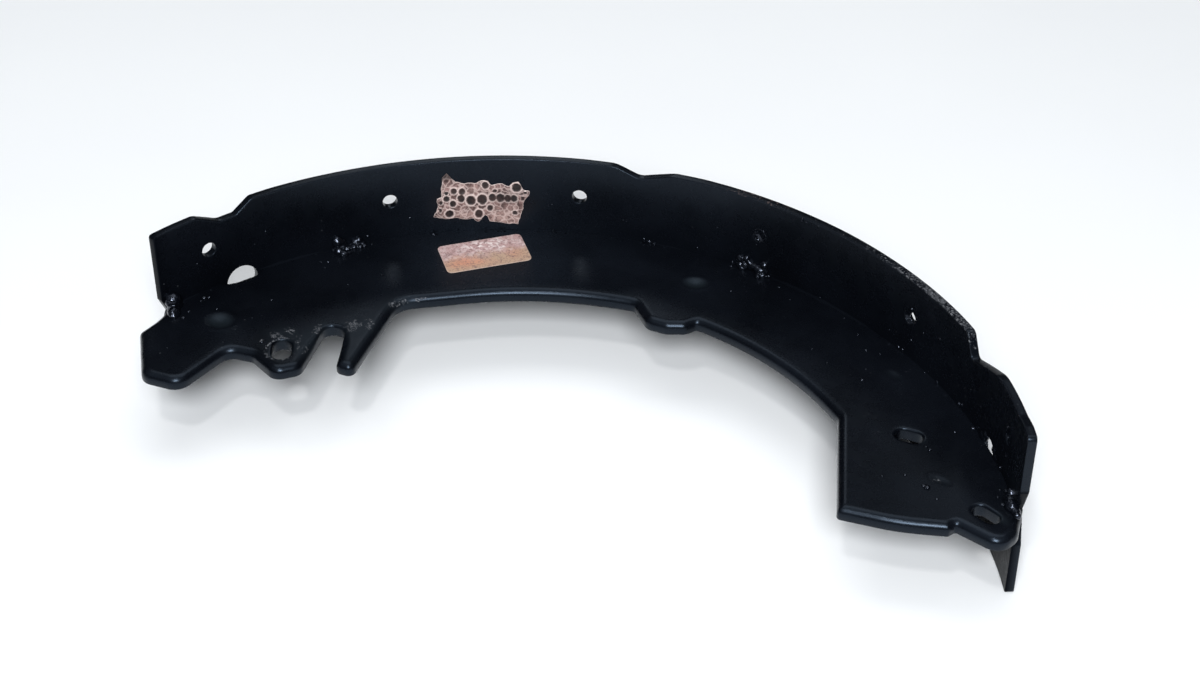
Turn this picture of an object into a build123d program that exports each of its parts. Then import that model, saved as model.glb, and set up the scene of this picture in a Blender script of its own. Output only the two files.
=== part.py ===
from build123d import *
import os
from math import sin, cos, radians

# ---------------------------------------------------------------------------
# Drum-brake shoe without its lining: a rolled table (rim) welded to a flat
# web, plus the weld beads and two small labels.  Millimetres, +Z along the
# drum axis, the shoe lying on the lower edge of its table.
# The drum axis stands at (0, Y_AXIS); angles are measured at the drum axis
# from +Y towards +X, so the middle of the arc points to +Y.
# ---------------------------------------------------------------------------

# table (rim)
R_IN = 139.0            # inner radius of the table
T_TABLE = 2.6           # table thickness
R_OUT = R_IN + T_TABLE
WIDTH = 54.3            # table width along the drum axis
HALF_ARC = 67.8         # half of the table's arc, degrees
CORNER_R = 2.0          # corner radius of the table's four corners

# web
T_WEB = 3.7             # web thickness
Z_TOP = 28.3            # upper face of the web
Z_BOT = Z_TOP - T_WEB
Z_MID = Z_TOP - T_WEB / 2
TAB_LOW = 23.6          # lowest web edge, measured from the drum axis along +Y
ROLL_TOP = 0.9          # rolled-over upper edge of the stamped web
ROLL_BOT = 0.25         # sheared lower edge

# placing: the origin is the centre of the overall box, on its underside
Y_AXIS = -(R_OUT + TAB_LOW) / 2

# rivet holes for the lining: two rows of six
RIVET_D = 4.6
RIVET_ROW = 14.65       # height of each row above and below the table's centre line
RIVET_PITCH = 24.34     # degrees
RIVET_SHIFT = 0.56      # the pattern sits slightly towards +X
RIM_BREAK = 0.35        # small radius on the table's sheared edges
# large holes on the web's centre plane, half covered by the web
SEAM_HOLE_D = 10.3
SEAM_HOLE_A = (-56.2, 56.2)     # degrees, one on each side
# vee notches in the table's ends, where the web passes
VEE_L = (2.2, 5.2)      # depth, half height
VEE_R = (4.0, 9.2)

# edge scallops of the table, in its developed surface: run of corner points
# (angle in degrees, depth below the edge in mm) with the radius at each corner
SCALLOP_L = [(-65.5, -0.3), (-61.6, 0.1), (-58.4, 4.15), (-56.2, 4.1), (-53.9, 0.15), (-51.0, -0.3)]
SCALLOP_L_R = [5.0, 4.0, 1.5, 2.5]
SCALLOP_M = [(-11.0, -0.3), (-7.0, 0.15), (-3.9, 3.3), (0.6, 0.25), (4.5, -0.3)]
SCALLOP_M_R = [8.0, 5.0, 10.0]
SCALLOP_R = [(45.0, -0.3), (48.2, 0.15), (49.75, 6.9), (56.4, 0.95), (63.4, 1.05), (65.7, -0.4)]
SCALLOP_R_R = [2.2, 1.4, 12.0, 5.0]


def at(r, a, z=0.0):
    """Point at radius r and angle a round the drum axis."""
    return Vector(r * sin(radians(a)), Y_AXIS + r * cos(radians(a)), z)


def w(x, y):
    """Point given from the drum axis."""
    return Vector(x, Y_AXIS + y, 0)


def radial_plane(a, z, r):
    """Plane square to the radius at angle a: x runs along the arc, y is up,
    and the normal points outwards."""
    out = Vector(sin(radians(a)), cos(radians(a)), 0)
    return Plane(origin=at(r, a, z), x_dir=Vector(-cos(radians(a)), sin(radians(a)), 0), z_dir=out)


def ring_sector(r0, r1, a0, a1):
    """Sketch lines of an annular sector from angle a0 to a1."""
    ThreePointArc(at(r1, a0), at(r1, (a0 + a1) / 2), at(r1, a1))
    Line(at(r1, a1), at(r0, a1))
    ThreePointArc(at(r0, a1), at(r0, (a0 + a1) / 2), at(r0, a0))
    Line(at(r0, a0), at(r1, a0))


# ---------------------------------------------------------------------------
# shoe_table: rolled strip with rivet holes, seam holes, end notches, scallops
# ---------------------------------------------------------------------------
with BuildPart() as shoe_table:
    with BuildSketch(Plane.XY):
        with BuildLine():
            ring_sector(R_IN, R_OUT, -HALF_ARC, HALF_ARC)
        make_face()
    extrude(amount=WIDTH)
    # rounded corners of the strip
    fillet(shoe_table.edges().filter_by(
        lambda e: e.geom_type == GeomType.LINE and abs(e.length - T_TABLE) < 1e-3), CORNER_R)
    # vee notches in both ends
    for a, side, (depth, half) in ((-HALF_ARC, -1, VEE_L), (HALF_ARC, 1, VEE_R)):
        with BuildSketch(radial_plane(a, Z_MID, R_IN - 3)):
            with BuildLine():
                s = side        # plane x points to smaller angles
                Polyline((-s * 2.0, half * (1 + 2.0 / depth)), (s * (depth - 0.35), half * 0.35 / depth + 0.25),
                         (s * (depth - 0.35), -half * 0.35 / depth - 0.25), (-s * 2.0, -half * (1 + 2.0 / depth)),
                         close=True)
            make_face()
        extrude(amount=9, mode=Mode.SUBTRACT)
    # scallops in the upper edge
    for pts, radii in ((SCALLOP_L, SCALLOP_L_R), (SCALLOP_M, SCALLOP_M_R), (SCALLOP_R, SCALLOP_R_R)):
        mid = (pts[0][0] + pts[-1][0]) / 2
        uv = [(-R_OUT * sin(radians(a - mid)), -d) for a, d in pts]
        with BuildSketch(radial_plane(mid, WIDTH, R_IN - 6)):
            with BuildLine():
                FilletPolyline(*uv, radius=radii)
                Polyline(uv[-1], (uv[-1][0], 6), (uv[0][0], 6), uv[0])
            make_face()
        extrude(amount=20, mode=Mode.SUBTRACT)
    # broken edges all round the strip's outline, inside and outside
    skins = shoe_table.faces().filter_by(GeomType.CYLINDER).sort_by(SortBy.AREA)[-2:]
    fillet(skins.edges().filter_by(lambda e: e.length > 0.05), RIM_BREAK)
    # rivet holes, drilled along the radius
    for row in (-1, 1):
        for k in range(6):
            a = RIVET_SHIFT + (k - 2.5) * RIVET_PITCH
            with BuildSketch(radial_plane(a, WIDTH / 2 + row * RIVET_ROW, R_IN - 3)):
                Circle(RIVET_D / 2)
            extrude(amount=9, mode=Mode.SUBTRACT)
    # large holes at the seam
    for a in SEAM_HOLE_A:
        with BuildSketch(radial_plane(a, Z_MID, R_IN - 3)):
            Circle(SEAM_HOLE_D / 2)
        extrude(amount=9, mode=Mode.SUBTRACT)
shoe_table.part.label = "shoe_table"

# ---------------------------------------------------------------------------
# shoe_web: flat stamping with a shaped inner edge
# ---------------------------------------------------------------------------
WEB_END_R = 66.45       # the web's outer arc ends here, inside the right-hand notch
SLOT_TOP = 64.3

# elongated holes through the web: x, y from the drum axis, length, width, turn
WEB_SLOTS = [(-87.1, 48.3, 9.4, 5.6, 114.0), (93.8, 74.9, 8.0, 5.2, -4.0), (121.0, 50.0, 8.4, 4.8, -28.0)]
# shallow punched dimples: x, y, diameter, depth
DIMPLES = [(-110.8, 55.0, 8.2, 0.5), (14.8, 123.4, 6.8, 0.5), (82.9, 100.2, 4.6, 0.25), (106.7, 59.2, 5.6, 0.3)]

# weld beads: quarter-round run in the corner (start angle, end angle, leg length)
# and the lumps on it: radius of the lump's centre, angle, height above the web, lump radius
RUN_LEFT, LUMPS_LEFT = (-44.4, -39.3, 2.9), [
    (137.6, -44.1, 0.4, 2.8), (137.2, -43.2, 0.5, 3.1), (137.9, -42.2, 0.4, 2.7), (137.9, -40.5, 0.6, 2.9),
    (138.3, -39.5, 0.3, 2.3)]
RUN_RIGHT, LUMPS_RIGHT = (9.5, 14.2, 2.8), [
    (138.2, 9.7, 0.3, 2.1), (137.5, 10.7, 0.6, 2.7), (137.7, 11.8, 0.5, 2.6), (137.2, 12.9, 0.7, 3.0),
    (138.1, 13.9, 0.8, 2.7)]
RUN_LEFT_END, LUMPS_LEFT_END = (-67.0, -64.7, 2.6), [
    (138.2, -64.9, 0.3, 2.2), (138.0, -66.1, 0.6, 2.9), (138.3, -67.1, 0.6, 3.0)]
RUN_RIGHT_END, LUMPS_RIGHT_END = (62.8, 66.8, 2.4), [
    (138.4, 63.0, 0.2, 1.9), (138.0, 64.1, 0.5, 2.4), (138.1, 65.4, 0.6, 2.7), (138.3, 66.6, 0.5, 2.6)]

# labels
T_LABEL = 0.25
LABEL_XY = (-51.3, 114.9)       # centre of the web label, from the drum axis
LABEL_L, LABEL_W = 26.2, 14.8
LABEL_TURN = 37.4
# torn label on the table's inner wall: distance along the wall, height above the web
TORN_OUTLINE = [(-13.3, 20.2), (-12.0, 20.0), (-10.4, 19.2), (-6.0, 18.6), (-1.5, 17.6), (3.0, 16.4),
                (7.5, 16.0), (11.6, 15.2), (13.6, 14.6), (13.3, 9.0), (12.2, 3.1), (8.0, 3.4), (2.6, 4.2),
                (-3.0, 5.6), (-8.4, 6.0), (-13.9, 6.4), (-13.6, 12.0)]

# corner points from the drum axis with their corner radii
LEFT_EDGE = [((-128.95, 47.3), 4.0), ((-130.45, 41.3), 1.6), ((-119.6, TAB_LOW), 4.5),
             ((-107.3, TAB_LOW), 5.2), ((-102.2, 43.2), 4.2), ((-94.3, 43.6), 3.0),
             ((-84.5, 38.0), 4.2), ((-78.5, 43.2), 3.6), ((-80.8, SLOT_TOP), 3.1),
             ((-74.3, SLOT_TOP), 2.9), ((-69.5, 47.7), 2.3), ((-64.1, 47.7), 2.2),
             ((-66.0, 82.6), 7.5)]
ARC_L = ((-48.0, 93.2), (-25.5, 103.0), (-0.4, 107.6))
LOBE = [((1.0, 107.5), 2.2), ((7.4, 100.5), 4.2), ((13.6, 100.2), 4.2),
        ((18.9, 102.1), 2.4), ((21.5, 105.3), 1.3)]
ARC_R = ((23.6, 104.9), (50.0, 94.45), (69.6, 80.05))
RIGHT_EDGE = [((72.9, 77.0), 5.0), ((83.6, 37.9), 1.3), ((100.0, 38.6), 60.0),
              ((113.1, 41.7), 1.1), ((114.5, 44.0), 1.0), ((127.5, 39.5), 5.0),
              ((130.7, 46.2), 6.0), ((129.75, 55.85), 0.6)]


def rounded_chain(start, corners, end):
    """Straight runs through the corner points, each rounded to its own radius."""
    pts = [w(*start)] + [w(*p) for p, _ in corners] + [w(*end)]
    return FilletPolyline(*pts, radius=[r for _, r in corners])


with BuildPart() as shoe_web:
    with BuildSketch(Plane.XY.offset(Z_BOT)):
        with BuildLine():
            a_l, a_r = -HALF_ARC, WEB_END_R
            ThreePointArc(at(R_IN, a_r), at(R_IN, (a_l + a_r) / 2), at(R_IN, a_l))
            p_l = (R_IN * sin(radians(a_l)), R_IN * cos(radians(a_l)))
            p_r = (R_IN * sin(radians(a_r)), R_IN * cos(radians(a_r)))
            rounded_chain(p_l, LEFT_EDGE, ARC_L[0])
            ThreePointArc(w(*ARC_L[0]), w(*ARC_L[1]), w(*ARC_L[2]))
            rounded_chain(ARC_L[2], LOBE, ARC_R[0])
            ThreePointArc(w(*ARC_R[0]), w(*ARC_R[1]), w(*ARC_R[2]))
            rounded_chain(ARC_R[2], RIGHT_EDGE, p_r)
        make_face()
    extrude(amount=T_WEB)
    # rolled-over upper edge along the blanked outline, sheared edge below
    free = [e for e in shoe_web.edges().group_by(Axis.Z)[-1]
            if not (e.geom_type == GeomType.CIRCLE and abs(e.radius - R_IN) < 0.01)]
    fillet(free, ROLL_TOP)
    under = [e for e in shoe_web.edges().group_by(Axis.Z)[0]
             if not (e.geom_type == GeomType.CIRCLE and abs(e.radius - R_IN) < 0.01)]
    chamfer(under, ROLL_BOT)
    # elongated holes
    for x, y, length, width, turn in WEB_SLOTS:
        with BuildSketch(Plane(origin=(x, Y_AXIS + y, Z_TOP), x_dir=(cos(radians(turn)), sin(radians(turn)), 0),
                               z_dir=(0, 0, 1))):
            SlotOverall(length, width)
        extrude(amount=-T_WEB, mode=Mode.SUBTRACT)
    # shallow punched dimples in the upper face
    for x, y, dia, deep in DIMPLES:
        ball = (dia * dia / 4 + deep * deep) / (2 * deep)
        with Locations((x, Y_AXIS + y, Z_TOP - deep + ball)):
            Sphere(ball, mode=Mode.SUBTRACT)
shoe_web.part.label = "shoe_web"

# ---------------------------------------------------------------------------
# weld beads in the corner between the web's upper face and the table
# ---------------------------------------------------------------------------
DRUM_AXIS = Axis((0, Y_AXIS, 0), (0, 0, 1))


def section_plane(a):
    """Plane through the drum axis at angle a: x runs outwards, y is up."""
    out = Vector(sin(radians(a)), cos(radians(a)), 0)
    return Plane(origin=at(R_IN, a, Z_TOP), x_dir=out, z_dir=out.cross(Vector(0, 0, 1)))


def corner_section(leg):
    """Quarter-round section that fills the corner at (0, 0)."""
    Polyline((-leg, 0), (0, 0), (0, leg))
    ThreePointArc((0, leg), (-0.62 * leg, 0.62 * leg), (-leg, 0))


with BuildPart() as weld_left:
    with BuildSketch(section_plane(RUN_LEFT[0])):
        with BuildLine():
            corner_section(RUN_LEFT[2])
        make_face()
    revolve(axis=DRUM_AXIS, revolution_arc=RUN_LEFT[0] - RUN_LEFT[1])
    for r, a, up, lump in LUMPS_LEFT:
        with Locations(at(r, a, Z_TOP + up)):
            Sphere(lump)
    with BuildSketch(Plane.XY.offset(Z_TOP)):
        with BuildLine():
            ring_sector(R_IN - 12, R_IN, -47, -37)
        make_face()
    extrude(amount=12, mode=Mode.INTERSECT)
weld_left.part.label = "weld_left"

with BuildPart() as weld_right:
    with BuildSketch(section_plane(RUN_RIGHT[0])):
        with BuildLine():
            corner_section(RUN_RIGHT[2])
        make_face()
    revolve(axis=DRUM_AXIS, revolution_arc=RUN_RIGHT[0] - RUN_RIGHT[1])
    for r, a, up, lump in LUMPS_RIGHT:
        with Locations(at(r, a, Z_TOP + up)):
            Sphere(lump)
    with BuildSketch(Plane.XY.offset(Z_TOP)):
        with BuildLine():
            ring_sector(R_IN - 12, R_IN, 7, 17)
        make_face()
    extrude(amount=12, mode=Mode.INTERSECT)
weld_right.part.label = "weld_right"

with BuildPart() as weld_left_end:
    with BuildSketch(section_plane(RUN_LEFT_END[0])):
        with BuildLine():
            corner_section(RUN_LEFT_END[2])
        make_face()
    revolve(axis=DRUM_AXIS, revolution_arc=RUN_LEFT_END[0] - RUN_LEFT_END[1])
    for r, a, up, lump in LUMPS_LEFT_END:
        with Locations(at(r, a, Z_TOP + up)):
            Sphere(lump)
    with BuildSketch(Plane.XY.offset(Z_TOP)):
        with BuildLine():
            ring_sector(R_IN - 12, R_IN, -HALF_ARC, -62)
        make_face()
    extrude(amount=12, mode=Mode.INTERSECT)
weld_left_end.part.label = "weld_left_end"

with BuildPart() as weld_right_end:
    with BuildSketch(section_plane(RUN_RIGHT_END[0])):
        with BuildLine():
            corner_section(RUN_RIGHT_END[2])
        make_face()
    revolve(axis=DRUM_AXIS, revolution_arc=RUN_RIGHT_END[0] - RUN_RIGHT_END[1])
    for r, a, up, lump in LUMPS_RIGHT_END:
        with Locations(at(r, a, Z_TOP + up)):
            Sphere(lump)
    with BuildSketch(Plane.XY.offset(Z_TOP)):
        with BuildLine():
            ring_sector(R_IN - 12, R_IN, 60, HALF_ARC)
        make_face()
    extrude(amount=12, mode=Mode.INTERSECT)
weld_right_end.part.label = "weld_right_end"

# ---------------------------------------------------------------------------
# labels
# ---------------------------------------------------------------------------
with BuildPart() as torn_label:
    with BuildSketch(Plane.XY):
        with BuildLine():
            ring_sector(R_IN - T_LABEL, R_IN, -32, -15)
        make_face()
    extrude(amount=WIDTH)
    with BuildSketch(radial_plane(-23.7, Z_TOP, R_IN - 8)):
        with BuildLine():
            Polyline(*[(-u, v) for u, v in TORN_OUTLINE], close=True)
        make_face()
    extrude(amount=14, mode=Mode.INTERSECT)
torn_label.part.label = "torn_label"

with BuildPart() as web_label:
    with BuildSketch(Plane(origin=(LABEL_XY[0], Y_AXIS + LABEL_XY[1], Z_TOP),
                           x_dir=(cos(radians(LABEL_TURN)), sin(radians(LABEL_TURN)), 0), z_dir=(0, 0, 1))):
        RectangleRounded(LABEL_L, LABEL_W, 1.6)
    extrude(amount=T_LABEL)
web_label.part.label = "web_label"

os.makedirs("parts", exist_ok=True)
export_step(shoe_table.part, "parts/shoe_table.step")
export_step(shoe_web.part, "parts/shoe_web.step")
export_step(weld_left.part, "parts/weld_left.step")
export_step(weld_right.part, "parts/weld_right.step")
export_step(weld_left_end.part, "parts/weld_left_end.step")
export_step(weld_right_end.part, "parts/weld_right_end.step")
export_step(torn_label.part, "parts/torn_label.step")
export_step(web_label.part, "parts/web_label.step")

for piece in (shoe_table, shoe_web, weld_left, weld_right, weld_left_end, weld_right_end, torn_label, web_label):
    print(piece.part.label, piece.part.is_valid, len(piece.part.solids()), round(piece.part.volume, 1))
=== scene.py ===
import bpy
import bmesh
import math
import random
import numpy as np
from mathutils import Matrix, Vector, noise
from mathutils.geometry import delaunay_2d_cdt


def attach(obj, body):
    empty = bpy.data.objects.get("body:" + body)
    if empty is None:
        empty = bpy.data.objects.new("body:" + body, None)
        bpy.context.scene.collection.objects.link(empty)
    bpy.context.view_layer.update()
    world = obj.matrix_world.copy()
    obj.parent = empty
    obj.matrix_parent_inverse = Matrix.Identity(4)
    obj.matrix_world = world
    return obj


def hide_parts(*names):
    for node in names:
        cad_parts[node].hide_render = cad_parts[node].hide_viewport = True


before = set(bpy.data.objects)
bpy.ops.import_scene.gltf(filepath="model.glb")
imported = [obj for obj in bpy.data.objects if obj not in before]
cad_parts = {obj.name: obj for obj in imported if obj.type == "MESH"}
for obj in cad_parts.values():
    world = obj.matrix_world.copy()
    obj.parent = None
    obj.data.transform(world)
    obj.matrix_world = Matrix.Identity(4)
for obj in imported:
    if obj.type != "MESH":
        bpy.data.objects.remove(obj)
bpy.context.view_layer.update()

MM = 0.001

# ------------------------------------------------------------------ dimensions, as in the CAD part (mm)
R_IN, T_TABLE, WIDTH, HALF_ARC = 139.0, 2.6, 54.3, 67.8
R_OUT = R_IN + T_TABLE
T_WEB, Z_TOP = 3.7, 28.3
Z_MID = Z_TOP - T_WEB / 2
Y_AXIS = -82.6
RIVET_D, RIVET_ROW, RIVET_PITCH, RIVET_SHIFT = 4.6, 14.65, 24.34, 0.56
SEAM_HOLE_D, SEAM_HOLES = 10.3, (-56.2, 56.2)
TAB_LOW = 23.6


def polar(r, a, z):
    """Row-frame points in metres from radius (mm), angle (degrees from +Y to +X) and height (mm)."""
    r, a, z = np.broadcast_arrays(np.asarray(r, float), np.asarray(a, float), np.asarray(z, float))
    t = np.radians(a)
    return np.stack([r * np.sin(t), Y_AXIS + r * np.cos(t), z], -1) * MM


def fbm(p, scale, seed=0.0, octaves=3):
    """Smooth noise, about -1 to 1, at points p (metres); scale is the size of its lumps in mm."""
    out = np.empty(len(p))
    k = 1000.0 / scale
    off = Vector((seed * 7.31, seed * 3.17, seed * 5.77))
    for i, q in enumerate(p):
        out[i] = noise.fractal(Vector(q) * k + off, 1.0, 2.0, octaves)
    return out


# ------------------------------------------------------------------ 2D helpers
def fillet_path(points, radii, step=0.45):
    """Open path through the points, each inner corner rounded to its radius; the ends are kept."""
    pts = [np.array(p, float) for p in points]
    out = [pts[0]]
    for i in range(1, len(pts) - 1):
        p, a, b = pts[i], pts[i - 1], pts[i + 1]
        ua, ub = (a - p) / np.linalg.norm(a - p), (b - p) / np.linalg.norm(b - p)
        ang = math.acos(max(-1, min(1, float(ua @ ub))))
        r = radii[i - 1]
        if r < 1e-6 or ang > math.pi - 1e-3:
            out.append(p)
            continue
        t = r / math.tan(ang / 2)
        c = p + (ua + ub) / np.linalg.norm(ua + ub) * (r / math.sin(ang / 2))
        s0, s1 = p + ua * t - c, p + ub * t - c
        a0, a1 = math.atan2(s0[1], s0[0]), math.atan2(s1[1], s1[0])
        d = (a1 - a0 + math.pi) % (2 * math.pi) - math.pi
        n = max(3, int(abs(d) * r / step) + 1)
        for k in range(n + 1):
            w = a0 + d * k / n
            out.append(c + r * np.array([math.cos(w), math.sin(w)]))
    out.append(pts[-1])
    return np.array(out)


def arc3(p0, p1, p2, step=1.0):
    """Circular arc through three points."""
    (x1, y1), (x2, y2), (x3, y3) = p0, p1, p2
    d = 2 * (x1 * (y2 - y3) + x2 * (y3 - y1) + x3 * (y1 - y2))
    ux = ((x1**2 + y1**2) * (y2 - y3) + (x2**2 + y2**2) * (y3 - y1) + (x3**2 + y3**2) * (y1 - y2)) / d
    uy = ((x1**2 + y1**2) * (x3 - x2) + (x2**2 + y2**2) * (x1 - x3) + (x3**2 + y3**2) * (x2 - x1)) / d
    r = math.hypot(x1 - ux, y1 - uy)
    a = [math.atan2(y - uy, x - ux) for x, y in (p0, p1, p2)]
    d01 = (a[1] - a[0] + math.pi) % (2 * math.pi) - math.pi
    d12 = (a[2] - a[1] + math.pi) % (2 * math.pi) - math.pi
    n = max(8, int(abs(d01 + d12) * r / step))
    w = a[0] + (d01 + d12) * np.arange(n + 1) / n
    return np.stack([ux + r * np.cos(w), uy + r * np.sin(w)], -1)


def densify(p, step, closed=True):
    """Splits runs longer than step, and drops repeated points."""
    q = []
    n = len(p)
    for i in range(n if closed else n - 1):
        a, b = p[i], p[(i + 1) % n]
        d = np.linalg.norm(b - a)
        if d < 1e-4:
            continue
        k = max(1, int(math.ceil(d / step)))
        q += [a + (b - a) * j / k for j in range(k)]
    if not closed:
        q.append(p[-1])
    q = np.array(q)
    keep = np.linalg.norm(q - np.roll(q, 1, 0), axis=1) > 0.04
    keep[0] = True
    return q[keep]


def ccw(p):
    x, y = p[:, 0], p[:, 1]
    area = 0.5 * np.sum(x * np.roll(y, -1) - y * np.roll(x, -1))
    return p if area > 0 else p[::-1].copy()


def circle(cx, cy, rx, ry=None, n=44, turn=0.0):
    t = np.linspace(0, 2 * np.pi, n, endpoint=False)
    ry = rx if ry is None else ry
    x, y = rx * np.cos(t), ry * np.sin(t)
    c, s = math.cos(turn), math.sin(turn)
    return np.stack([cx + x * c - y * s, cy + x * s + y * c], -1)


def stadium(cx, cy, length, width, turn, n=18):
    r, h = width / 2, (length - width) / 2
    t = np.linspace(-np.pi / 2, np.pi / 2, n)
    right = np.stack([h + r * np.cos(t), r * np.sin(t)], -1)
    left = -right
    p = np.concatenate([right, left])
    c, s = math.cos(math.radians(turn)), math.sin(math.radians(turn))
    p = np.stack([cx + p[:, 0] * c - p[:, 1] * s, cy + p[:, 0] * s + p[:, 1] * c], -1)
    return densify(p, 0.6)


def inside(q, loops):
    """Even-odd test of points q against all the loops together."""
    c = np.zeros(len(q), bool)
    x, y = q[:, 0], q[:, 1]
    for p in loops:
        for (x0, y0), (x1, y1) in zip(p, np.roll(p, -1, 0)):
            if y0 == y1:
                continue
            m = (y0 > y) != (y1 > y)
            c ^= m & (x < (x1 - x0) * (y - y0) / (y1 - y0) + x0)
    return c


def near(q, p):
    """Distance from each point of q to the nearest point of p."""
    out = np.full(len(q), 1e9)
    for i in range(0, len(q), 2000):
        d = q[i:i + 2000, None, :] - p[None]
        out[i:i + 2000] = np.sqrt((d * d).sum(-1).min(1))
    return out


def hexes(lo, hi, spacing):
    nx, ny = int((hi[0] - lo[0]) / spacing) + 2, int((hi[1] - lo[1]) / (spacing * 0.866)) + 2
    gx, gy = np.meshgrid(np.arange(nx), np.arange(ny))
    return np.stack([lo[0] + (gx + 0.5 * (gy % 2)) * spacing, lo[1] + gy * spacing * 0.866], -1).reshape(-1, 2)


def in_discs(q, discs):
    out = np.zeros(len(q), bool)
    for x, y, r in discs:
        out |= np.hypot(q[:, 0] - x, q[:, 1] - y) < r
    return out


def field_drop(q, loops, ra):
    """Largest drop that any nearby outline gives to the points q."""
    drop = np.zeros(len(q))
    for p, r in zip(loops, ra):
        r = np.full(len(p), r) if np.isscalar(r) else r
        nxt, rn = np.roll(p, -1, 0), np.roll(r, -1)
        t = np.arange(6)[None, :, None] / 6
        P = (p[:, None] * (1 - t) + nxt[:, None] * t).reshape(-1, 2)
        Rr = (r[:, None] * (1 - t[..., 0]) + rn[:, None] * t[..., 0]).reshape(-1)
        for i in range(0, len(q), 1500):
            d2 = ((q[i:i + 1500, None, :] - P[None]) ** 2).sum(-1)
            j = d2.argmin(1)
            drop[i:i + 1500] = np.maximum(drop[i:i + 1500], profile(Rr[j], np.sqrt(d2[np.arange(len(j)), j])))
    return drop


def new_mesh(name, verts, faces, mat, attrs=None, smooth=True):
    me = bpy.data.meshes.new(name)
    me.from_pydata([tuple(v) for v in verts], [], [tuple(int(i) for i in f) for f in faces])
    me.validate()
    bm = bmesh.new()
    bm.from_mesh(me)
    bmesh.ops.recalc_face_normals(bm, faces=bm.faces)
    bm.to_mesh(me)
    bm.free()
    for key, val in (attrs or {}).items():
        at = me.attributes.new(key, "FLOAT", "POINT")
        at.data.foreach_set("value", np.asarray(val, np.float32))
    if smooth:
        me.shade_smooth()
    o = bpy.data.objects.new(name, me)
    bpy.context.scene.collection.objects.link(o)
    if mat is not None:
        me.materials.append(mat)
    return o


def profile(r, d):
    """How far a rolled edge of radius r has dropped at distance d from the outline."""
    r = np.maximum(r, 1e-6)
    x = np.clip(r - d, 0, r)
    return r - np.sqrt(np.maximum(r * r - x * x, 0))


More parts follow.
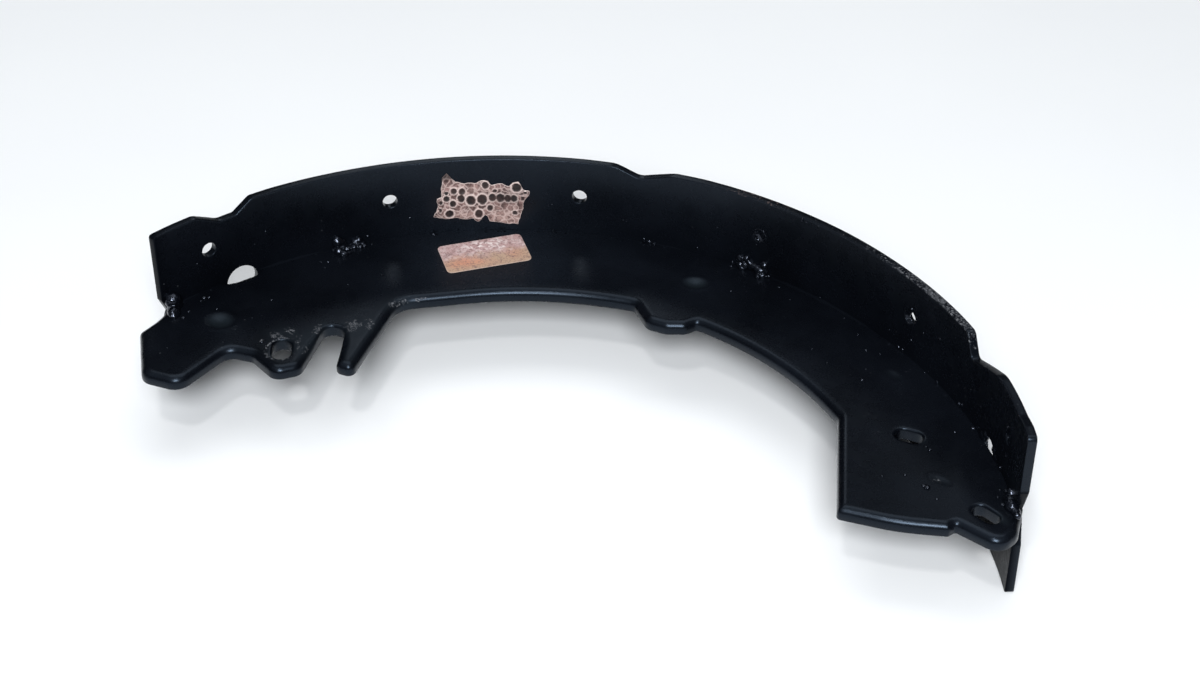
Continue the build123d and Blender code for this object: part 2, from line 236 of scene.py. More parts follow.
def plate(name, loops, ra, rb, thick, place, spacing, mat, attr_fn=None, guard=0.35, levels=4, soft=None, dense=()):
    """Closed plate with rounded rims. loops: outline then holes (mm, in the plate's own plane);
    ra, rb: edge radius per vertex on the near and the far skin; place(u, v, h, near_skin) gives metres."""
    loops = [ccw(loops[0])] + [ccw(p)[::-1].copy() for p in loops[1:]]
    rings = []
    for k in range(levels + 1):
        w = math.pi / 2 * k / levels
        rings.append(("a", 1 - math.sin(w), 1 - math.cos(w)))
    for k in range(levels, -1, -1):
        w = math.pi / 2 * k / levels
        rings.append(("b", 1 - math.sin(w), 1 - math.cos(w)))
    if soft:
        rings = [("a", d, None) for d in (0.5, 0.34, 0.2, 0.09, 0.02, 0.0)] + [r for r in rings if r[0] == "b"]
    rings = [("ga", 0.5 if soft else 1, 0)] + rings + [("gb", 1, 0)]
    UV, H, SIDE, RIM, faces, first, last = [], [], [], [], [], [], []
    base = 0
    for li, p in enumerate(loops):
        d1 = p - np.roll(p, 1, 0)
        d2 = np.roll(p, -1, 0) - p
        d1 /= np.linalg.norm(d1, axis=1)[:, None]
        d2 /= np.linalg.norm(d2, axis=1)[:, None]
        n1 = np.stack([d1[:, 1], -d1[:, 0]], -1)
        n2 = np.stack([d2[:, 1], -d2[:, 0]], -1)
        nn = n1 + n2
        nn /= np.maximum(np.linalg.norm(nn, axis=1)[:, None], 1e-6)
        nn /= np.clip((nn * n1).sum(1), 0.6, 1)[:, None]
        A = ra[li] * np.ones(len(p)) if np.isscalar(ra[li]) else ra[li]
        B = rb[li] * np.ones(len(p)) if np.isscalar(rb[li]) else rb[li]
        n = len(p)
        for k, (side, ins, dep) in enumerate(rings):
            r = A if side in ("a", "ga") else B
            if soft and side in ("a", "ga"):
                inset = np.full(n, ins + (guard if side == "ga" else 0))
                H.append(profile(A, inset))
            else:
                inset = r * ins + (guard if side[0] == "g" else 0)
                H.append(r * dep if side in ("a", "ga") else thick - r * dep)
            UV.append(p - nn * inset[:, None])
            SIDE.append(np.full(n, 0.0 if side in ("a", "ga") else 1.0))
            RIM.append(np.full(n, 0.0 if side[0] == "g" else 1.0))
        m = len(rings)
        for k in range(m - 1):
            a0, b0 = base + k * n, base + (k + 1) * n
            for i in range(n):
                j = (i + 1) % n
                faces.append((a0 + i, a0 + j, b0 + j, b0 + i))
        first.append(np.arange(base, base + n))
        last.append(np.arange(base + (m - 1) * n, base + m * n))
        base += m * n
    UV, H, SIDE, RIM = np.concatenate(UV), np.concatenate(H), np.concatenate(SIDE), np.concatenate(RIM)
    for skin, ids in ((0.0, first), (1.0, last)):
        ring_loops = [UV[i] for i in ids]
        lo, hi = ring_loops[0].min(0), ring_loops[0].max(0)
        every = np.concatenate(ring_loops)
        q = hexes(lo, hi, spacing)
        q = q[inside(q, ring_loops)]
        d = near(q, every)
        keep = d > spacing * 0.62
        if soft and skin == 0.0:
            keep &= (d > soft[0]) & ~in_discs(q, dense)
            f = hexes(lo, hi, soft[1])
            f = f[in_discs(f, dense) | (near(f, every[::2]) < soft[0] + 0.3)]
            f = f[inside(f, ring_loops)]
            fd = near(f, every)
            f = f[(fd > soft[1] * 0.62) & ((fd <= soft[0]) | in_discs(f, dense))]
            q = np.concatenate([q[keep], f])
        else:
            q = q[keep]
        idx = np.concatenate(ids)
        src = np.concatenate([UV[idx], q])
        edges, c = [], 0
        for p in ring_loops:
            edges += [(c + i, c + (i + 1) % len(p)) for i in range(len(p))]
            c += len(p)
        vo, eo, fo, ov, _, _ = delaunay_2d_cdt([Vector(v) for v in src], edges, [], 0, 1e-5)
        vo = np.array([tuple(v) for v in vo])
        gid = np.empty(len(vo), int)
        k0 = len(UV)
        extra = 0
        newuv = []
        for i, o in enumerate(ov):
            if o and o[0] < len(idx):
                gid[i] = idx[o[0]]
            else:
                gid[i] = k0 + extra
                extra += 1
                newuv.append(vo[i])
        UV = np.concatenate([UV, np.array(newuv).reshape(-1, 2)])
        fresh = np.array(newuv).reshape(-1, 2)
        if soft and skin == 0.0:
            fresh_h = field_drop(fresh, loops, ra)
        else:
            fresh_h = np.full(extra, 0.0 if skin == 0 else thick)
        H = np.concatenate([H, fresh_h])
        SIDE = np.concatenate([SIDE, np.full(extra, skin)])
        RIM = np.concatenate([RIM, np.zeros(extra)])
        tri = np.array([f for f in fo if len(f) == 3])
        cen = vo[tri].mean(1)
        tri = tri[inside(cen, ring_loops)]
        faces += [tuple(gid[t]) for t in tri]
    verts = place(UV[:, 0], UV[:, 1], H, SIDE)
    attrs = {"rim": RIM}
    if attr_fn is not None:
        attrs.update(attr_fn(UV, H, SIDE, RIM, verts))
    return new_mesh(name, verts, faces, mat, attrs)


# ------------------------------------------------------------------ materials
def material(name):
    m = bpy.data.materials.new(name)
    m.use_nodes = True
    nt = m.node_tree
    nt.nodes.clear()
    out = nt.nodes.new("ShaderNodeOutputMaterial")
    bsdf = nt.nodes.new("ShaderNodeBsdfPrincipled")
    nt.links.new(bsdf.outputs[0], out.inputs[0])
    return m, nt, bsdf


def node(nt, kind, **inputs):
    n = nt.nodes.new(kind)
    for k, v in inputs.items():
        if k in ("operation", "blend_type", "data_type", "attribute_name", "noise_dimensions", "feature", "distance",
                 "interpolation_type", "clamp"):
            setattr(n, k, v)
        else:
            key = int(k[1:]) if k[0] == "i" and k[1:].isdigit() else k.replace("_", " ")
            n.inputs[key].default_value = v
    return n


def noise_tex(nt, coord, scale, detail=3.0, rough=0.5, dist=0.0):
    n = node(nt, "ShaderNodeTexNoise", Scale=scale, Detail=detail, Roughness=rough, Distortion=dist)
    nt.links.new(coord, n.inputs["Vector"])
    return n.outputs["Fac"]


def ramp(nt, fac, lo, hi, a=0.0, b=1.0):
    n = node(nt, "ShaderNodeMapRange")
    n.inputs["From Min"].default_value = lo
    n.inputs["From Max"].default_value = hi
    n.inputs["To Min"].default_value = a
    n.inputs["To Max"].default_value = b
    n.clamp = True
    nt.links.new(fac, n.inputs["Value"])
    return n.outputs["Result"]


def math_node(nt, op, a, b=None, clamp=False):
    n = nt.nodes.new("ShaderNodeMath")
    n.operation = op
    n.use_clamp = clamp
    for i, v in enumerate((a, b)):
        if v is None:
            continue
        if isinstance(v, (int, float)):
            n.inputs[i].default_value = v
        else:
            nt.links.new(v, n.inputs[i])
    return n.outputs[0]


def mix_col(nt, fac, a, b):
    n = nt.nodes.new("ShaderNodeMix")
    n.data_type = "RGBA"
    f, ca, cb = n.inputs[0], n.inputs[6], n.inputs[7]
    for s, v in ((f, fac), (ca, a), (cb, b)):
        if isinstance(v, (int, float)):
            s.default_value = v
        elif isinstance(v, tuple):
            s.default_value = (*v, 1.0)
        else:
            nt.links.new(v, s)
    return n.outputs[2]


def attribute(nt, name):
    n = nt.nodes.new("ShaderNodeAttribute")
    n.attribute_name = name
    return n.outputs["Fac"]


def black_paint(name, rough=0.27, peel=1.0, wear=True, gloss=0.24, grit=0.0, tint=(0.60, 0.77, 1.0, 1.0)):
    """Glossy black dip paint: faint blue-black mottling, orange peel, dust nibs, chipped and rusty places, painted
    sheen patches, and gloss cut in places as painted shade.
    """
    m, nt, b = material(name)
    co = nt.nodes.new("ShaderNodeTexCoord").outputs["Object"]
    big = noise_tex(nt, co, 38.0, 3.0, 0.55)
    mid = noise_tex(nt, co, 210.0, 3.0, 0.6)
    col = mix_col(nt, ramp(nt, big, 0.35, 0.68), (0.0016, 0.0020, 0.0032), (0.0034, 0.0043, 0.0066))
    # dust and pale nibs in the paint
    vor = node(nt, "ShaderNodeTexVoronoi", Scale=330.0)
    nt.links.new(co, vor.inputs["Vector"])
    speck = ramp(nt, vor.outputs["Distance"], 0.10, 0.04)
    speck = math_node(nt, "MULTIPLY", speck, ramp(nt, noise_tex(nt, co, 95.0, 2.0), 0.60, 0.70))
    col = mix_col(nt, math_node(nt, "MULTIPLY", speck, 0.35), col, (0.10, 0.11, 0.12))
    rgh = ramp(nt, mid, 0.3, 0.7, rough - 0.03, rough + 0.04)
    if wear:
        chips = attribute(nt, "wear")
        n1 = noise_tex(nt, co, 1250.0, 4.0, 0.7)
        n0 = noise_tex(nt, co, 420.0, 2.0, 0.5)
        n1 = math_node(nt, "ADD", math_node(nt, "MULTIPLY", n1, 1.25), math_node(nt, "MULTIPLY", n0, 0.40))
        mask = ramp(nt, math_node(nt, "ADD", chips, n1), 1.27, 1.37)
        grey = mix_col(nt, ramp(nt, noise_tex(nt, co, 2300.0, 2.0), 0.46, 0.60), (0.026, 0.027, 0.031), (0.17, 0.172, 0.182))
        col = mix_col(nt, mask, col, grey)
        rust = attribute(nt, "rust")
        n2 = noise_tex(nt, co, 1300.0, 4.0, 0.7)
        rmask = ramp(nt, math_node(nt, "ADD", rust, math_node(nt, "MULTIPLY", n2, 0.9)), 1.02, 1.15)
        brown = mix_col(nt, ramp(nt, noise_tex(nt, co, 1900.0, 2.0), 0.40, 0.66), (0.022, 0.017, 0.016), (0.20, 0.145, 0.132))
        col = mix_col(nt, rmask, col, brown)
        # painted sheen: a lighter blue-grey, rougher colour stands in for soft highlights on the web's dimples, the
        # rolled boss edge and the slot rims
        haze = attribute(nt, "haze")
        col = mix_col(nt, haze, col, (0.0075, 0.0105, 0.0135))
        both = math_node(nt, "MAXIMUM", math_node(nt, "MAXIMUM", mask, rmask), math_node(nt, "MULTIPLY", haze, 0.55))
        n = nt.nodes.new("ShaderNodeMix")
        nt.links.new(both, n.inputs[0])
        nt.links.new(rgh, n.inputs[2])
        n.inputs[3].default_value = 0.62
        rgh = n.outputs[0]
    nt.links.new(col, b.inputs["Base Color"])
    nt.links.new(rgh, b.inputs["Roughness"])
    b.inputs["IOR"].default_value = 1.5
    b.inputs["Specular IOR Level"].default_value = gloss
    if wear:
        # gloss cut by a vertex attribute: the end faces come out darker, and on the fin's inner face this is painted
        # shade
        keep = math_node(nt, "SUBTRACT", 1.0, attribute(nt, "dull"))
        nt.links.new(math_node(nt, "MULTIPLY", keep, gloss), b.inputs["Specular IOR Level"])
    b.inputs["Specular Tint"].default_value = tint
    # orange peel, runs and nibs
    h1 = noise_tex(nt, co, 520.0, 2.0, 0.5)
    h2 = noise_tex(nt, co, 120.0, 2.0, 0.5)
    h = math_node(nt, "ADD", math_node(nt, "MULTIPLY", h1, 0.25 * peel), math_node(nt, "MULTIPLY", h2, 0.30 * peel))
    h = math_node(nt, "ADD", h, math_node(nt, "MULTIPLY", speck, 0.5))
    if grit:
        h = math_node(nt, "ADD", h, math_node(nt, "MULTIPLY", noise_tex(nt, co, 1700.0, 2.0, 0.6), grit))
    bump = node(nt, "ShaderNodeBump", Strength=0.35, Distance=0.00012)
    nt.links.new(h, bump.inputs["Height"])
    nt.links.new(bump.outputs[0], b.inputs["Normal"])
    return m


paint = black_paint("black_dip_paint")
paint_weld = black_paint("black_paint_on_weld", rough=0.11, peel=0.9, wear=False, gloss=0.52, grit=3.2,
                         tint=(0.72, 0.80, 1.0, 1.0))
paint_seam = black_paint("black_paint_in_seam", rough=0.75, peel=1.0, wear=False, gloss=0.03)


def label_paper():
    """Faded rounded label: pinkish above, warmer below, with faint mottling and pale scuffs."""
    m, nt, b = material("faded_label")
    tc = nt.nodes.new("ShaderNodeTexCoord").outputs["Object"]
    across = attribute(nt, "across")
    n1 = noise_tex(nt, tc, 260.0, 4.0, 0.6)
    n2 = noise_tex(nt, tc, 900.0, 3.0, 0.6, 1.5)
    n3 = noise_tex(nt, tc, 110.0, 2.0, 0.5)
    warm, scuff = attribute(nt, "warm"), attribute(nt, "scuff")
    t = math_node(nt, "ADD", across, math_node(nt, "MULTIPLY", math_node(nt, "SUBTRACT", n1, 0.5), 0.7))
    col = mix_col(nt, ramp(nt, t, 0.30, 0.62), (0.44, 0.30, 0.21), (0.47, 0.31, 0.30))
    col = mix_col(nt, math_node(nt, "MULTIPLY", warm, ramp(nt, n3, 0.38, 0.60)), col, (0.58, 0.25, 0.155))
    col = mix_col(nt, math_node(nt, "MULTIPLY", ramp(nt, n2, 0.50, 0.62), 0.80), col, (0.17, 0.095, 0.092))
    streak = ramp(nt, noise_tex(nt, tc, 620.0, 3.0, 0.6, 0.8), 0.50, 0.60)
    col = mix_col(nt, math_node(nt, "MULTIPLY", streak, scuff), col, (0.80, 0.70, 0.68))
    edge = attribute(nt, "rim")
    col = mix_col(nt, math_node(nt, "MULTIPLY", edge, 0.5), col, (0.62, 0.50, 0.44))
    nt.links.new(col, b.inputs["Base Color"])
    nt.links.new(ramp(nt, n1, 0.3, 0.7, 0.42, 0.62), b.inputs["Roughness"])
    bump = node(nt, "ShaderNodeBump", Strength=0.5, Distance=0.00008)
    nt.links.new(math_node(nt, "ADD", n2, n1), bump.inputs["Height"])
    nt.links.new(bump.outputs[0], b.inputs["Normal"])
    return m


def torn_foil():
    """Torn, blistered label: burst blisters show black, with pale lips between them."""
    m, nt, b = material("torn_blistered_label")
    tc = nt.nodes.new("ShaderNodeTexCoord").outputs["Object"]
    hole, lip, fade = attribute(nt, "hole"), attribute(nt, "lip"), attribute(nt, "fade")
    n1 = noise_tex(nt, tc, 420.0, 4.0, 0.6, 0.6)
    n2 = noise_tex(nt, tc, 1100.0, 3.0, 0.6, 1.0)
    base = mix_col(nt, ramp(nt, n1, 0.40, 0.60), (0.040, 0.020, 0.019), (0.30, 0.185, 0.17))
    base = mix_col(nt, math_node(nt, "MULTIPLY", fade, 0.85), base, (0.47, 0.32, 0.285))
    base = mix_col(nt, math_node(nt, "MULTIPLY", ramp(nt, n2, 0.50, 0.62), 0.75), base, (0.065, 0.028, 0.026))
    # fine torn ridges, bent by noise so that no two run alike
    bent = nt.nodes.new("ShaderNodeVectorMath")
    bent.operation = "MULTIPLY_ADD"
    warp = node(nt, "ShaderNodeTexNoise", Scale=500.0, Detail=2.0)
    nt.links.new(tc, warp.inputs["Vector"])
    nt.links.new(warp.outputs["Color"], bent.inputs[0])
    bent.inputs[1].default_value = (0.0022, 0.0022, 0.0022)
    nt.links.new(tc, bent.inputs[2])
    w = node(nt, "ShaderNodeTexVoronoi", Scale=430.0)
    w.feature = "DISTANCE_TO_EDGE"
    nt.links.new(bent.outputs[0], w.inputs["Vector"])
    ridge = ramp(nt, w.outputs["Distance"], 0.13, 0.02)
    base = mix_col(nt, math_node(nt, "MULTIPLY", ridge, 0.62), base, (0.66, 0.51, 0.47))
    col = mix_col(nt, lip, base, (0.74, 0.60, 0.56))
    dark = mix_col(nt, ramp(nt, n1, 0.4, 0.6), (0.008, 0.006, 0.007), (0.030, 0.016, 0.015))
    col = mix_col(nt, hole, col, dark)
    nt.links.new(col, b.inputs["Base Color"])
    nt.links.new(ramp(nt, n2, 0.3, 0.7, 0.34, 0.55), b.inputs["Roughness"])
    bump = node(nt, "ShaderNodeBump", Strength=0.6, Distance=0.00012)
    nt.links.new(math_node(nt, "ADD", n1, ridge), bump.inputs["Height"])
    nt.links.new(bump.outputs[0], b.inputs["Normal"])
    return m


def floor_material():
    m, nt, b = material("pale_floor")
    co = nt.nodes.new("ShaderNodeTexCoord").outputs["Object"]
    n = noise_tex(nt, co, 6.0, 3.0)
    col = mix_col(nt, ramp(nt, n, 0.3, 0.7), (0.90, 0.903, 0.906), (0.925, 0.928, 0.93))
    nt.links.new(col, b.inputs["Base Color"])
    b.inputs["Roughness"].default_value = 0.85
    b.inputs["Specular IOR Level"].default_value = 0.1
    return m


# ------------------------------------------------------------------ camera
CAM = np.array([178.22, -82.6 - 395.28, 28.3 + 380.205])
AIM, TILT, ROLL = math.radians(3.7334 - 24.27), math.radians(36.4333), math.radians(0.326)
FOCAL_PX = 2177.0
fwd = np.array([math.sin(AIM) * math.cos(TILT), math.cos(AIM) * math.cos(TILT), -math.sin(TILT)])
right = np.array([math.cos(AIM), -math.sin(AIM), 0.0])
up = np.cross(right, fwd)
r2 = math.cos(ROLL) * right + math.sin(ROLL) * up
u2 = -math.sin(ROLL) * right + math.cos(ROLL) * up
cam_data = bpy.data.cameras.new("camera")
cam_data.sensor_fit = "HORIZONTAL"
cam_data.sensor_width = 36.0
cam_data.lens = FOCAL_PX / 1200.0 * 36.0
cam_data.clip_start, cam_data.clip_end = 0.01, 20.0
cam = bpy.data.objects.new("camera", cam_data)
bpy.context.scene.collection.objects.link(cam)
rot = Matrix(((r2[0], u2[0], -fwd[0]), (r2[1], u2[1], -fwd[1]), (r2[2], u2[2], -fwd[2])))
cam.matrix_world = Matrix.Translation(Vector(CAM * MM)) @ rot.to_4x4()
bpy.context.scene.camera = cam


def to_pixel(p):
    """Picture coordinates of points given in metres in the part's frame."""
    d = p / MM - CAM
    z = d @ fwd
    return 600.0 + FOCAL_PX * (d @ r2) / z, 337.0 - FOCAL_PX * (d @ u2) / z


def ray(px, py):
    d = fwd * FOCAL_PX + r2 * (px - 600.0) - u2 * (py - 337.0)
    return d / np.linalg.norm(d)


def on_web(px, py, z=Z_TOP):
    """Point (mm) where the picture's ray meets the level z, from the drum axis in x and y."""
    d = ray(px, py)
    p = CAM + d * (z - CAM[2]) / d[2]
    return np.array([p[0], p[1] - Y_AXIS, z])


def on_wall(px, py, r=R_IN):
    """(angle, height) where the picture's ray meets the inner wall."""
    d = ray(px, py)
    o = np.array([CAM[0], CAM[1] - Y_AXIS])
    a, b, c = d[0] ** 2 + d[1] ** 2, o @ d[:2], o @ o - r * r
    t = (-b + math.sqrt(max(b * b - a * c, 0))) / a
    p = o + d[:2] * t
    return math.degrees(math.atan2(p[0], p[1])), CAM[2] + d[2] * t


def hit(px, py):
    """Surface point under a pixel: ('web', x, y) or ('wall', angle, z)."""
    p = on_web(px, py)
    if math.hypot(p[0], p[1]) < R_IN:
        return "web", p[0], p[1]
    a, z = on_wall(px, py)
    return "wall", a, z


# ------------------------------------------------------------------ table
U = math.radians(1) * R_IN      # mm along the inner wall per degree


def table_outline():
    lo, hi = -HALF_ARC * U, HALF_ARC * U
    z_hi = WIDTH
    top = [(65.7, -0.4), (63.4, 1.05), (56.4, 0.95), (49.75, 6.9), (48.2, 0.15), (45.0, -0.1)]
    top_r = [6.0, 12.0, 1.4, 2.2]
    mid = [(4.5, -0.1), (0.6, 0.25), (-3.9, 3.3), (-7.0, 0.15), (-11.0, -0.1)]
    mid_r = [10.0, 5.0, 8.0]
    lef = [(-51.0, -0.1), (-53.9, 0.15), (-56.2, 4.1), (-58.4, 4.15), (-61.6, 0.1), (-65.0, -0.1)]
    lef_r = [2.5, 1.5, 4.0, 5.0]
    def run(pts, radii):
        q = fillet_path([(a * U, z_hi - d) for a, d in pts], radii)
        q[:, 1] = np.minimum(q[:, 1], z_hi)
        return q
    parts = [
        fillet_path([(0, 0), (hi, 0), (hi, Z_MID - 9.2), (hi - 4.0, Z_MID), (hi, Z_MID + 9.2), (hi, z_hi), (hi - 2.6, z_hi)],
                    [0.9, 1.2, 0.5, 1.2, 1.6]),
        run(top, top_r), run(mid, mid_r), run(lef, lef_r),
        fillet_path([(lo + 3.0, z_hi), (lo, z_hi), (lo, Z_MID + 5.2), (lo + 2.2, Z_MID), (lo, Z_MID - 5.2), (lo, 0), (-1, 0)],
                    [1.0, 1.0, 0.5, 1.0, 1.6]),
    ]
    return densify(np.concatenate(parts), 0.8)


def table_loops():
    loops = [table_outline()]
    for row in (-1, 1):
        for k in range(6):
            a = RIVET_SHIFT + (k - 2.5) * RIVET_PITCH
            loops.append(circle(a * U, WIDTH / 2 + row * RIVET_ROW, RIVET_D / 2, n=40))
    for a in SEAM_HOLES:
        loops.append(circle(a * U, Z_MID, SEAM_HOLE_D / 2, n=72))
    return loops


def place_table(u, v, h, side):
    a = u / U
    base = polar(R_IN, a, v)
    wob = fbm(base, 55.0, 1.0, 2) * 0.10 + fbm(base, 14.0, 2.0, 2) * 0.018
    edge = np.clip((np.abs(v - Z_TOP + T_WEB / 2)) / 6.0, 0, 1)    # stays true where the web meets it
    if isinstance(h, np.ndarray):
        h = np.minimum(h, T_TABLE - 0.10 * np.clip((19 - np.abs(a)) / 7, 0, 1) + 9.0 * (np.abs(a) >= 19))
    lift = 0.6 * np.clip((a + 36) / 6, 0, 1) * np.clip((14 - a) / 6, 0, 1) * np.clip(1 - v / 8.0, 0, 1)
    return polar(R_IN + h + wob * edge, a, v + lift)


WEAR_TOP = [(-68, 0.0), (12, 0.0), (22, 0.22), (30, 0.34), (36, 0.44), (40, 0.50), (45, 0.48), (49, 0.40), (52, 0.12), (56, 0.16), (60, 0.06), (68, 0.0)]
RUST_TOP = [(-60, 0.15), (-30, 0.22), (0, 0.30), (6, 0.60), (10, 0.78), (16, 0.70), (20, 0.50), (24, 0.60), (34, 0.45), (47, 0.30), (52, 0.35),
            (60, 0.55), (68, 0.55)]


def table_attrs(uv, h, side, rim, verts):
    a, z = uv[:, 0] / U, uv[:, 1]
    ra, rv = zip(*RUST_TOP)
    level = np.interp(a, ra, rv)
    on_top = np.clip((z - (WIDTH - 7.5)) / 7.0, 0, 1)
    corner = np.where(h > 0.4, 0.74, 0.72) * rim
    rust = level * corner * np.clip(on_top * 1.3, 0, 1)
    rust = np.maximum(rust, 0.30 * rim * (np.abs(a) > 66))
    wear = 0.12 * rim + 0.05
    wa, wv = zip(*WEAR_TOP)
    wear = np.maximum(wear, np.interp(a, wa, wv) * rim * on_top ** 0.5)
    # pale scuffs on the right-hand wall
    wear = wear + 0.20 * np.exp(-((a - 50) / 16) ** 2 - ((z - 38) / 12) ** 2)
    # less gloss, so darker, on the left end face and the right end rim; on the fin's inner face it is painted shade
    # standing in for the shade under the shoe
    dull = np.where((a < -67.3) & (z > 29), 0.80, 0.0) + 0.90 * (a > 58) * (z < 24) * (side < 0.5)
    dull = np.maximum(dull, 0.90 * (a > 66.3) * (z > 22) * (z < 36) * rim)
    return {"rust": rust, "wear": wear, "dull": dull}


table = plate("table_strip", table_loops(), [0.30] + [0.22] * 12 + [0.30] * 2, [0.40] + [0.25] * 12 + [0.35] * 2,
              T_TABLE, place_table, 1.9, paint, table_attrs)
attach(table, "root")
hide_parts("shoe_table")

# ------------------------------------------------------------------ web
LEFT_EDGE = [((-128.95, 47.3), 4.0), ((-130.45, 41.3), 1.6), ((-119.6, TAB_LOW), 4.5),
             ((-107.3, TAB_LOW), 5.2), ((-102.2, 43.2), 4.2), ((-94.3, 43.6), 3.0),
             ((-84.5, 38.0), 4.2), ((-78.5, 43.2), 3.6), ((-80.8, 64.3), 3.1),
             ((-74.3, 64.3), 2.9), ((-69.5, 47.7), 2.3), ((-64.1, 47.7), 2.2),
             ((-66.0, 82.6), 7.5)]
ARC_L = ((-48.0, 93.2), (-25.5, 103.0), (-0.4, 107.6))
LOBE = [((1.0, 107.5), 2.2), ((7.4, 100.5), 4.2), ((13.6, 100.2), 4.2), ((18.9, 102.1), 2.4), ((21.5, 105.3), 1.3)]
ARC_R = ((23.6, 104.9), (50.0, 94.45), (69.6, 80.05))
RIGHT_EDGE = [((72.9, 77.0), 5.0), ((83.6, 37.9), 1.3), ((100.0, 38.6), 60.0),
              ((113.1, 41.7), 1.1), ((114.5, 44.0), 1.0), ((127.5, 39.5), 5.0),
              ((130.7, 46.2), 6.0), ((129.75, 55.85), 0.6)]
WEB_SLOTS = [(-87.1, 48.3, 9.4, 5.6, 114.0), (93.8, 74.9, 8.0, 5.2, -4.0), (121.0, 50.0, 8.4, 4.8, -28.0)]
# dimples: x, y, half length along the arc, half width, depth, turn
DIMPLES = [(-110.6, 54.2, 4.5, 4.0, 0.80, -8), (14.8, 123.4, 4.0, 3.1, 0.78, 10), (82.9, 100.2, 3.2, 1.9, 0.22, -30),
           (106.7, 59.2, 3.6, 1.8, 0.24, -20)]


def web_outline():
    a = np.radians(np.arange(66.45, -67.51, -0.4))
    r = R_IN + 0.15 - 1.5 * np.clip(1.6 - np.abs(np.degrees(a) - SEAM_HOLES[0]) / 1.9, 0, 1)
    outer = np.stack([r * np.sin(a), r * np.cos(a)], -1)
    p_l, p_r = outer[-1], outer[0]
    parts = [outer,
             fillet_path([p_l] + [p for p, _ in LEFT_EDGE] + [ARC_L[0]], [q for _, q in LEFT_EDGE])[1:],
             arc3(*ARC_L)[1:],
             fillet_path([ARC_L[2]] + [p for p, _ in LOBE] + [ARC_R[0]], [q for _, q in LOBE])[1:],
             arc3(*ARC_R)[1:],
             fillet_path([ARC_R[2]] + [p for p, _ in RIGHT_EDGE] + [p_r], [q for _, q in RIGHT_EDGE])[1:-1]]
    return ccw(densify(np.concatenate(parts), 0.8))


def web_place(u, v, h, side):
    base = np.stack([u, Y_AXIS + v, np.full_like(u, Z_TOP)], -1) * MM
    wave = fbm(base, 60.0, 5.0, 2) * 0.07 + fbm(base, 15.0, 6.0, 2) * 0.014
    z = Z_TOP - h + wave
    near_skin = np.clip(1 - h / 1.5, 0, 1) * (side < 0.5)
    for x, y, ra, rb, deep, turn in DIMPLES:
        c, s = math.cos(math.radians(turn)), math.sin(math.radians(turn))
        dx, dy = u - x, v - y
        e = np.hypot((dx * c + dy * s) / ra, (-dx * s + dy * c) / rb)
        z -= near_skin * deep * np.where(e < 1, 0.5 * (1 + np.cos(np.pi * np.clip(e, 0, 1))), 0)
        z += near_skin * 0.16 * deep * np.exp(-((e - 1.12) / 0.16) ** 2)
    return np.stack([u * MM, (Y_AXIS + v) * MM, z * MM], -1)


def blob(u, v, x, y, rx, ry=None):
    ry = rx if ry is None else ry
    return np.exp(-((u - x) / rx) ** 2 - ((v - y) / ry) ** 2)


def web_attrs(uv, h, side, rim, verts):
    u, v = uv[:, 0], uv[:, 1]
    top = (side < 0.5) * 1.0
    wear = 0.04 + 0.05 * rim
    px, py = to_pixel(verts)

    def spot(x, y, rx, ry, w, turn=0.0):
        c, q = math.cos(math.radians(turn)), math.sin(math.radians(turn))
        dx, dy = px - x, py - y
        return w * np.exp(-(((dx * c + dy * q) / rx) ** 2 + ((-dx * q + dy * c) / ry) ** 2) ** 2)

    chips = [(277, 336, 10, 5, 0.50, 12), (290, 331, 9, 5, 0.50, 5), (262, 341, 3, 3, 0.55), (299, 338, 6, 8, 0.40),
             (318, 329, 10, 6, 0.47, -35), (354, 326, 13, 8, 0.49, -8), (369, 324, 7, 9, 0.50, -20), (398, 303, 15, 5, 0.50, -14),
             (418, 299, 10, 3.5, 0.48, -10), (305, 349, 5, 11, 0.42, 30), (226, 372, 3, 2, 0.4), (876, 432, 6, 6, 0.30),
             (940, 480, 12, 6, 0.34), (870, 415, 22, 7, 0.28), (905, 372, 10, 5, 0.26), (911, 440, 5, 3, 0.46, 20), (184, 386, 5, 3, 0.36)]
    for c in chips:
        wear = np.maximum(wear, top * spot(*c))
    e = np.hypot((u + 87.1) / 4.6, (v - 48.3) / 5.6)
    wear = np.maximum(wear, top * 0.48 * np.exp(-((e - 1.0) / 0.16) ** 2))
    # painted sheen: lighter, rougher patches where soft light catches the rolled boss edge, the ground next to its worn
    # chips, and the slot rims
    haze = np.zeros_like(u)
    for x, y, rx, ry, w, turn in [(306, 344, 11, 16, 0.50, 25), (358, 329, 20, 10, 0.40, -8), (400, 303, 22, 7, 0.40, -12),
                                  (285, 335, 19, 8, 0.34, 5), (320, 331, 13, 8, 0.36, -35), (352, 352, 8, 16, 0.25, 10),
                                  (1002, 519, 9, 4, 0.45, 38), (917, 438, 9, 4, 0.45, 25)]:
        haze = np.maximum(haze, top * spot(x, y, rx, ry, w, turn))
    # painted sheen: each dimple is made lighter as if softly lit
    for x, y, ra, rb, deep, turn in DIMPLES:
        c, q = math.cos(math.radians(turn)), math.sin(math.radians(turn))
        dx, dy = u - x, v - y
        e = np.hypot((dx * c + dy * q) / ra, (-dx * q + dy * c) / rb)
        haze = np.maximum(haze, top * min(0.9, deep / 0.85) * np.clip((1.05 - e) / 0.5, 0, 1))
    rust = 0.05 * rim
    return {"wear": wear, "rust": rust, "haze": haze, "dull": 0.0 * haze}


